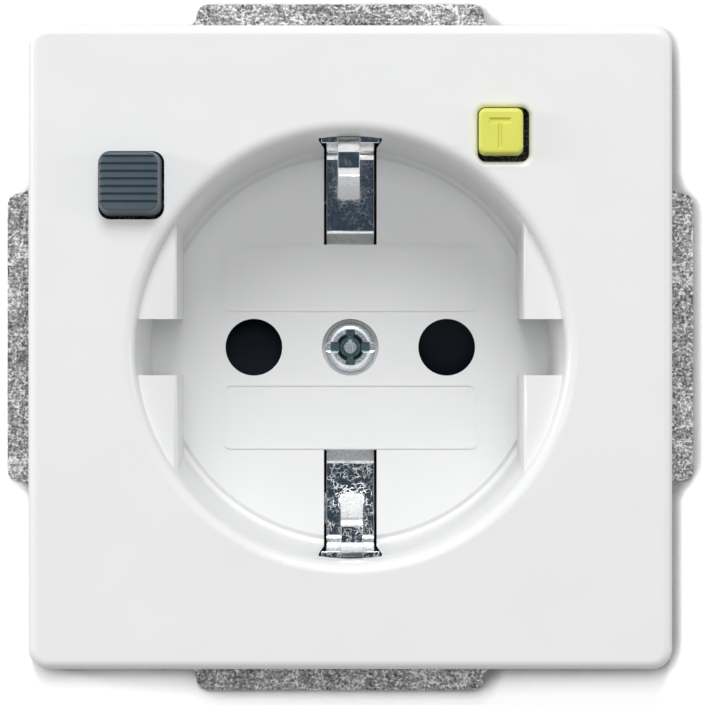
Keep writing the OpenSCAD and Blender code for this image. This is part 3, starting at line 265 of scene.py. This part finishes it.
# Leads, bridges and carrier
# Copper strip runs from the terminals through the core to the fixed rivets.
# The moulded carrier holds two bridges that close both poles, and the steel latch holds it.
copper_strip = worked_metal(
    "copper_strip", dark=(0.6, 0.27, 0.15), light=(0.78, 0.4, 0.25),
    roughness=0.3, patch=300.0, grain=4500.0, depth=0.000003, stretch=(1.0, 1.0, 0.2),
)
dress(copper_strip, "line_lead", "neutral_lead", "line_bridge", "neutral_bridge")
dress(pale_moulding, "contact_carrier")
dress(soft_iron, "trip_latch")


# Contact block
# A dark thermoplastic moulding with a chamber for each pin contact.
# The contacts are bent from brass strip, with two leaves that grip the pin.
dark_moulding = moulded_plastic(
    "dark_moulding", colour=(0.03, 0.031, 0.035), roughness=0.42,
    mottle=0.1, grain=2400.0, depth=0.000005,
)
rolled_brass = worked_metal(
    "rolled_brass", dark=(0.58, 0.42, 0.17), light=(0.74, 0.56, 0.27),
    roughness=0.3, patch=260.0, grain=5000.0, depth=0.000002, stretch=(1.0, 1.0, 0.15),
)
dress(dark_moulding, "contact_block")
dress(rolled_brass, "line_contact", "neutral_contact", "test_leaf")


# Springs
# Coils and a bent strip of bright drawn spring steel, and the brass leaf of the test contact.
# Each is copied and stays as it stands, the test leaf cut across at even heights, and the shutter's
# strip is hung on the socket's body.
spring_wire = worked_metal(
    "spring_wire", dark=(0.42, 0.43, 0.45), light=(0.6, 0.61, 0.63),
    roughness=0.25, patch=1200.0, grain=8000.0, depth=0.000002,
)
dress(
    spring_wire, "shutter_spring", "reset_spring", "test_spring", "carrier_spring", "plunger_spring"
)


def sprung_piece(name, piece_name):
    piece = bpy.data.objects.new(piece_name, nodes[name].data.copy())
    bpy.context.scene.collection.objects.link(piece)
    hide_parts(name)
    return piece


across, inward = 0, 1
near, far = 0, 1
for name, body, axis, held in (
    ("reset_spring", "reset", inward, far),
    ("test_spring", "test", inward, far),
    ("carrier_spring", "carrier", inward, near),
    ("plunger_spring", "plunger", across, far),
):
    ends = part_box(name)
    held_end, moving_end = Vector(), Vector()
    held_end[axis] = ends[held][axis]
    moving_end[axis] = ends[far - held][axis]
    coil = sprung_piece(name, name + "_coil")
    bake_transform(coil)

leaf_held_z = 0.0158
leaf_pressed_z = 0.019
leaf_bends = 6
leaf = sprung_piece("test_leaf", "test_contact_leaf")
leaf_mesh = bmesh.new()
leaf_mesh.from_mesh(leaf.data)
for k in range(leaf_bends + 1):
    height = leaf_held_z + (leaf_pressed_z - leaf_held_z) * k / leaf_bends
    bmesh.ops.bisect_plane(
        leaf_mesh,
        geom=leaf_mesh.verts[:] + leaf_mesh.edges[:] + leaf_mesh.faces[:],
        plane_co=(0.0, 0.0, height),
        plane_no=(0.0, 0.0, 1.0),
    )
leaf_mesh.to_mesh(leaf.data)
leaf_mesh.free()
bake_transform(leaf)

shutter_strip = sprung_piece("shutter_spring", "shutter_spring_strip")
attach(shutter_strip, "socket")
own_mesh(shutter_strip)


# Shutter
# A turning bar of blue-black plastic that closes both pin holes behind the well's floor.
# A pair of pins pushes on its ramps together and turns it out of the way.
shutter_plastic = moulded_plastic(
    "shutter_plastic", colour=(0.005, 0.0085, 0.0135), roughness=0.3,
    mottle=0.2, grain=2000.0, depth=0.000006,
)
shutter_shader = shutter_plastic.node_tree.nodes["Principled BSDF"]
shutter_shader.inputs["Specular IOR Level"].default_value = 0.08
dress(shutter_plastic, "shutter")


# Earth strap with its two clips
# Nickel-plated spring brass, stamped and bent; the tongues are folded over at the well's rim.
# Short scratches cross the plating, more of them on the lower clip than on the upper one.
def reckon(tree, operation, *values, clamp=False):
    node = tree.nodes.new("ShaderNodeMath")
    node.operation = operation
    node.use_clamp = clamp
    for entry, value in zip(node.inputs, values):
        if isinstance(value, float):
            entry.default_value = value
        else:
            tree.links.new(value, entry)
    return node.outputs["Value"]


def cell_edges(tree, place, scale, width):
    cells = tree.nodes.new("ShaderNodeTexVoronoi")
    cells.feature = "DISTANCE_TO_EDGE"
    cells.inputs["Scale"].default_value = scale
    tree.links.new(place, cells.inputs["Vector"])
    return rescale(tree, cells.outputs["Distance"], (width, 0.0))


def plated_strip():
    scratch_scale = 2500.0
    scratch_width = 0.1
    scratch_depth = 0.000004
    break_scale = 1500.0
    wander_scale = 1700.0
    wander_reach = 0.0006
    upper_z, upper_wear = 0.008, 0.3
    lower_z, lower_wear = -0.008, 1.0
    bright = (0.8, 0.81, 0.82)
    scored_tone = (0.6, 0.62, 0.63)
    finish, tree, shader, place = new_finish("plated_strip")
    wander = tree.nodes.new("ShaderNodeTexNoise")
    wander.inputs["Scale"].default_value = wander_scale
    tree.links.new(place, wander.inputs["Vector"])
    drift = tree.nodes.new("ShaderNodeVectorMath")
    drift.operation = "MULTIPLY_ADD"
    drift.inputs[1].default_value = (wander_reach, wander_reach, wander_reach)
    tree.links.new(wander.outputs["Color"], drift.inputs[0])
    tree.links.new(place, drift.inputs[2])
    thin = cell_edges(tree, drift.outputs["Vector"], scratch_scale, scratch_width)
    broken = spread(tree, cloud(tree, place, break_scale, detail=2.0), -0.5, 1.5)
    height = split_axes(tree, place)["Z"]
    wear = rescale(tree, height, (upper_z, lower_z), (upper_wear, lower_wear))
    scratch = reckon(tree, "MULTIPLY", thin, broken, clamp=True)
    lines = reckon(tree, "MULTIPLY", scratch, wear)
    tone = ramp(tree, lines, [(0.0, bright), (1.0, scored_tone)])
    tree.links.new(tone, shader.inputs["Base Color"])
    for socket, smooth, scored in (("Roughness", 0.09, 0.4), ("Metallic", 1.0, 0.35)):
        level = rescale(tree, lines, (0.0, 1.0), (smooth, scored))
        tree.links.new(level, shader.inputs[socket])
    raise_grain(tree, shader, lines, scratch_depth)
    return finish


def join_faces(piece):
    touching = 0.000001
    weld = piece.modifiers.new("join", "WELD")
    weld.merge_threshold = touching


def ease_edges(name, width):
    sharp = math.radians(40)
    join_faces(nodes[name])
    bevel = nodes[name].modifiers.new("worn edge", "BEVEL")
    bevel.width = width
    bevel.segments = 2
    bevel.limit_method = "ANGLE"
    bevel.angle_limit = sharp
    bevel.harden_normals = True


dress(plated_strip(), "earth_strap")
ease_edges("earth_strap", width=0.00012)


# Support frame and its screws
# Galvanised sheet steel, punched, with an ear on each side that rests on the wall.
# The zinc shows its crystals and the scores of handling, and the punched edges are eased.
def galvanised_sheet():
    crystal_scale = 6000.0
    bloom_scale, bloom_share = 420.0, 1.0
    speck_scale, speck_share = 3600.0, 2.4
    rolling_scale, rolling_share = 1700.0, 1.6
    rolling_stretch = (0.3, 1.0, 2.2)
    score_scale, score_share = 460.0, 0.55
    score_width = 0.04
    grain_low, grain_high = 2.1, 3.9
    grain_depth = 0.00002
    finish, tree, shader, place = new_finish("galvanised_sheet")
    crystals = tree.nodes.new("ShaderNodeTexVoronoi")
    crystals.inputs["Scale"].default_value = crystal_scale
    tree.links.new(place, crystals.inputs["Vector"])
    split = tree.nodes.new("ShaderNodeSeparateColor")
    tree.links.new(crystals.outputs["Color"], split.inputs["Color"])
    total = split.outputs["Red"]
    for texture, share in (
        (cloud(tree, place, bloom_scale, detail=2.0), bloom_share),
        (cloud(tree, place, speck_scale, detail=4.0), speck_share),
        (cloud(tree, place, rolling_scale, detail=6.0, stretch=rolling_stretch), rolling_share),
        (cell_edges(tree, place, score_scale, score_width), score_share),
    ):
        total = reckon(tree, "MULTIPLY_ADD", texture, share, total)
    grain = rescale(tree, total, (grain_low, grain_high))
    tone = ramp(tree, grain, [
        (0.1, (0.1, 0.1, 0.1)), (0.4, (0.26, 0.26, 0.26)),
        (0.62, (0.4, 0.4, 0.4)), (0.85, (0.75, 0.75, 0.74)),
    ])
    tree.links.new(tone, shader.inputs["Base Color"])
    tree.links.new(spread(tree, grain, 0.42, 0.6), shader.inputs["Roughness"])
    raise_grain(tree, shader, grain, grain_depth)
    shader.inputs["Metallic"].default_value = 0.85
    return finish


dress(galvanised_sheet(), "support_frame")
dress(zinc_plate, "frame_screws")
ease_edges("support_frame", width=0.00014)


# Cover plate
# White glossy thermoplastic, moulded in one piece with the well, the guide blocks,
# the two bare framed fields and the square guides behind the buttons.
white_plastic = moulded_plastic(
    "white_plastic", colour=(0.77, 0.773, 0.776), roughness=0.3,
    mottle=0.006, grain=900.0, depth=0.0000012,
)
dress(white_plastic, "cover_plate")
ease_edges("cover_plate", width=0.00006)


# Cover screw
# Zinc-plated steel with a cheese head, a slot and a cross in it; painted shade, a dark teal, fills
# the recess round the cross's centre post.
# It goes through the well's floor into the contact block.
def plate_with_painted_recess_shade(top, recess_radius, post_radius):
    fade = 0.0001
    shade_from, shade_full = 0.00002, 0.0003
    painted_recess_shade = (0.16, 0.23, 0.25)
    finish = worked_metal(
        "screw_plate_with_painted_shade", dark=(0.62, 0.67, 0.7), light=(0.8, 0.84, 0.87),
        roughness=0.26, patch=1400.0, grain=6000.0, depth=0.000001,
    )
    tree = finish.node_tree
    shader = tree.nodes["Principled BSDF"]
    plated = shader.inputs["Base Color"].links[0].from_socket
    place = tree.nodes["Texture Coordinate"].outputs["Object"]
    flat = tree.nodes.new("ShaderNodeVectorMath")
    flat.operation = "MULTIPLY"
    flat.inputs[1].default_value = (1.0, 0.0, 1.0)
    tree.links.new(place, flat.inputs[0])
    reach = tree.nodes.new("ShaderNodeVectorMath")
    reach.operation = "LENGTH"
    tree.links.new(flat.outputs["Vector"], reach.inputs[0])
    radius = reach.outputs["Value"]
    below = rescale(tree, split_axes(tree, place)["Y"], (top + shade_from, top + shade_full))
    inside = rescale(tree, radius, (recess_radius + fade, recess_radius))
    outside = rescale(tree, radius, (post_radius - fade, post_radius))
    ring = reckon(tree, "MULTIPLY", inside, outside)
    # Painted shade: below the head's top, between the centre post and the recess rim, the plating
    # is mixed toward a dark teal.
    mix = tree.nodes.new("ShaderNodeMix")
    mix.data_type = "RGBA"
    mix.inputs["B"].default_value = (*painted_recess_shade, 1.0)
    tree.links.new(reckon(tree, "MULTIPLY", below, ring), mix.inputs["Factor"])
    tree.links.new(plated, mix.inputs["A"])
    tree.links.new(mix.outputs["Result"], shader.inputs["Base Color"])
    return finish


screw_plate_with_painted_shade = plate_with_painted_recess_shade(
    top=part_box("cover_screw")[0].y, recess_radius=0.0019, post_radius=0.0007
)
dress(screw_plate_with_painted_shade, "cover_screw")


# Reset button
# Blue-grey plastic with seven moulded grooves for the finger.
# Its stem goes back through the frame and carries the latch.
reset_grey = moulded_plastic(
    "reset_grey", colour=(0.05, 0.073, 0.094), roughness=0.38,
    mottle=0.06, grain=2600.0, depth=0.000005,
)
dress(reset_grey, "reset_button")


# Test button
# Yellow-green plastic with a sunk letter T, the common mark of a test button.
# The piece is the moulded head and stem with the letter's sloping walls cut in.
def sunk_letter(bar, stem, front, depth, slope):
    left, right, top, foot = bar
    stem_left, stem_right, end = stem
    outline = [
        (left, top, 1, -1), (right, top, -1, -1), (right, foot, -1, 1), (stem_right, foot, -1, 1),
        (stem_right, end, -1, 1), (stem_left, end, 1, 1), (stem_left, foot, 1, 1),
        (left, foot, 1, 1),
    ]
    mesh = bmesh.new()
    rims = []
    for level, inward in ((front - depth, -slope), (front + depth, slope)):
        rims.append([
            mesh.verts.new((x + inward * sx, level, z + inward * sz)) for x, z, sx, sz in outline
        ])
    outer, inner = rims
    mesh.faces.new(outer)
    mesh.faces.new(reversed(inner))
    for i in range(len(outline)):
        k = (i + 1) % len(outline)
        mesh.faces.new((outer[k], outer[i], inner[i], inner[k]))
    bmesh.ops.recalc_face_normals(mesh, faces=mesh.faces)
    data = bpy.data.meshes.new("letter_cut")
    mesh.to_mesh(data)
    mesh.free()
    return bpy.data.objects.new("letter_cut", data)


letter_cut = sunk_letter(
    bar=(0.01357, 0.01576, 0.02247, 0.02182),
    stem=(0.01441, 0.01491, 0.0194),
    front=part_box("test_button")[0].y,
    depth=0.00022,
    slope=0.00017,
)
test_head = bpy.data.objects.new("test_head", nodes["test_button"].data.copy())
bpy.context.scene.collection.objects.link(letter_cut)
bpy.context.scene.collection.objects.link(test_head)
join_faces(test_head)
cut = test_head.modifiers.new("letter", "BOOLEAN")
cut.object = letter_cut
cut.solver = "EXACT"
cut.operation = "DIFFERENCE"
bpy.context.view_layer.update()
cut_mesh = bpy.data.meshes.new_from_object(
    test_head.evaluated_get(bpy.context.evaluated_depsgraph_get())
)
test_head.modifiers.clear()
test_head.data = cut_mesh
bpy.data.objects.remove(letter_cut)
test_yellow = moulded_plastic(
    "test_yellow", colour=(0.66, 0.67, 0.115), roughness=0.4,
    mottle=0.04, grain=2200.0, depth=0.000004,
)
cut_mesh.materials.clear()
cut_mesh.materials.append(test_yellow)
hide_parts("test_button")
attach(test_head, "test")


# Wall, lamps and camera
# A white painted wall with a round opening takes the socket's shadow from the lamps, plus a painted
# shadow along the socket's edges, darkest to the right and below; from behind it is clear.
# Soft lamps stand above, in front and to both sides, and the clips mirror a dark card.
def wall_with_opening(half, radius, y):
    steps = 96
    mesh = bmesh.new()
    inner = []
    outer = []
    for i in range(steps):
        turn = 2 * math.pi * i / steps
        right, up = math.cos(turn), math.sin(turn)
        reach = half / max(abs(right), abs(up))
        inner.append(mesh.verts.new((radius * right, y, radius * up)))
        outer.append(mesh.verts.new((reach * right, y, reach * up)))
    for i in range(steps):
        k = (i + 1) % steps
        mesh.faces.new((inner[i], outer[i], outer[k], inner[k]))
    return mesh


def dark_sheet(half, y):
    mesh = bmesh.new()
    corners = [(-1, -1), (1, -1), (1, 1), (-1, 1)]
    mesh.faces.new([mesh.verts.new((half * x, y, half * z)) for x, z in corners])
    return mesh


def stand_up(name, mesh, paint):
    data = bpy.data.meshes.new(name)
    mesh.to_mesh(data)
    mesh.free()
    data.materials.append(paint)
    piece = bpy.data.objects.new(name, data)
    bpy.context.scene.collection.objects.link(piece)
    return piece


def empty_paint(name):
    paint = bpy.data.materials.new(name)
    paint.use_nodes = True
    paint.node_tree.nodes.clear()
    return paint, paint.node_tree, paint.node_tree.nodes.new("ShaderNodeOutputMaterial")


def mixed_shaders(tree, share, first, second):
    node = tree.nodes.new("ShaderNodeMixShader")
    tree.links.new(share, node.inputs["Fac"])
    tree.links.new(first, node.inputs[1])
    tree.links.new(second, node.inputs[2])
    return node.outputs["Shader"]


def white_wall_paint():
    plain_white = 0.8
    painted_shadow_reach = 0.0018
    painted_shadow_lean = (-0.5, -0.7, 0.0)
    painted_shadow_span = (0.5, 0.92)
    painted_shadow_tone = (0.46, 1.7)
    painted_shadow_samples = 8
    seat_gap = 0.0003
    paint, tree, output = empty_paint("wall_paint")
    rays = tree.nodes.new("ShaderNodeLightPath")
    plain = tree.nodes.new("ShaderNodeBsdfDiffuse")
    plain.inputs["Color"].default_value = (plain_white, plain_white, plain_white, 1.0)
    lean = tree.nodes.new("ShaderNodeCombineXYZ")
    for entry, share in zip(lean.inputs, painted_shadow_lean):
        entry.default_value = share
    # Painted shadow: occlusion leaned toward the upper left darkens the wall's colour for the
    # camera near the socket, most to its right and below, and lifts it to white further off.
    painted_shadow = tree.nodes.new("ShaderNodeAmbientOcclusion")
    painted_shadow.samples = painted_shadow_samples
    painted_shadow.inputs["Distance"].default_value = painted_shadow_reach
    tree.links.new(lean.outputs["Vector"], painted_shadow.inputs["Normal"])
    seen = tree.nodes.new("ShaderNodeBsdfDiffuse")
    tree.links.new(
        rescale(tree, painted_shadow.outputs["AO"], painted_shadow_span, painted_shadow_tone), seen.inputs["Color"]
    )
    clear = tree.nodes.new("ShaderNodeBsdfTransparent")
    behind = tree.nodes.new("ShaderNodeNewGeometry")
    pressed_on = reckon(tree, "LESS_THAN", rays.outputs["Ray Length"], seat_gap)
    through = reckon(tree, "MAXIMUM", pressed_on, behind.outputs["Backfacing"])
    front = mixed_shaders(
        tree, rays.outputs["Is Camera Ray"], plain.outputs["BSDF"], seen.outputs["BSDF"]
    )
    surface = mixed_shaders(tree, through, front, clear.outputs["BSDF"])
    tree.links.new(surface, output.inputs["Surface"])
    return paint


def dark_card_paint():
    paint, tree, output = empty_paint("card_paint")
    glow = tree.nodes.new("ShaderNodeEmission")
    glow.inputs["Color"].default_value = (0.035, 0.055, 0.077, 1.0)
    tree.links.new(glow.outputs["Emission"], output.inputs["Surface"])
    return paint


stand_up("wall", wall_with_opening(half=0.8, radius=0.0292, y=0.00002), white_wall_paint())
card = stand_up("dark_card", dark_sheet(half=0.55, y=-3.4), dark_card_paint())
for kind in ("camera", "diffuse", "transmission", "volume_scatter", "shadow"):
    setattr(card, "visible_" + kind, False)


def white_surround(seen_level, light_level):
    world = bpy.data.worlds.new("studio")
    world.use_nodes = True
    tree = world.node_tree
    sky = tree.nodes["Background"]
    sky.inputs["Color"].default_value = (1.0, 1.0, 1.0, 1.0)
    rays = tree.nodes.new("ShaderNodeLightPath").outputs
    mirrored = reckon(tree, "MAXIMUM", rays["Is Camera Ray"], rays["Is Glossy Ray"])
    seen = reckon(tree, "MAXIMUM", mirrored, rays["Is Transmission Ray"])
    level = rescale(tree, seen, (0.0, 1.0), (light_level, seen_level))
    tree.links.new(level, sky.inputs["Strength"])
    return world


bpy.context.scene.world = white_surround(seen_level=1.0, light_level=0.29)


def soft_lamp(name, place, size, power):
    data = bpy.data.lights.new(name, "AREA")
    data.shape = "DISK"
    data.size = size
    data.energy = power
    lamp = bpy.data.objects.new(name, data)
    bpy.context.scene.collection.objects.link(lamp)
    lamp.location = place
    lamp.rotation_euler = (-Vector(place)).to_track_quat("-Z", "Y").to_euler()
    lamp.visible_camera = False
    return lamp


soft_lamp("top_lamp", (-0.05, -0.98, 1.02), size=0.75, power=13.5)
front_lamp = soft_lamp("front_lamp", (0.0, -1.5, 0.2), size=0.5, power=5.6)
front_lamp.visible_glossy = False
soft_lamp("left_lamp", (-1.2, -0.3, 0.25), size=0.3, power=5.0)
soft_lamp("right_lamp", (1.2, -0.5, 0.1), size=0.3, power=1.5)

camera_data = bpy.data.cameras.new("camera")
camera_data.sensor_fit = "HORIZONTAL"
camera_data.sensor_width = 36.0
camera_data.lens = 1303.4
camera_data.clip_start = 0.1
camera_data.clip_end = 20.0
camera = bpy.data.objects.new("camera", camera_data)
bpy.context.scene.collection.objects.link(camera)
camera.location = (0.00012, -2.5, -0.00052)
camera.rotation_euler = (math.radians(90), 0.0, 0.0)
bpy.context.scene.camera = camera
bpy.context.scene.view_settings.view_transform = "Standard"
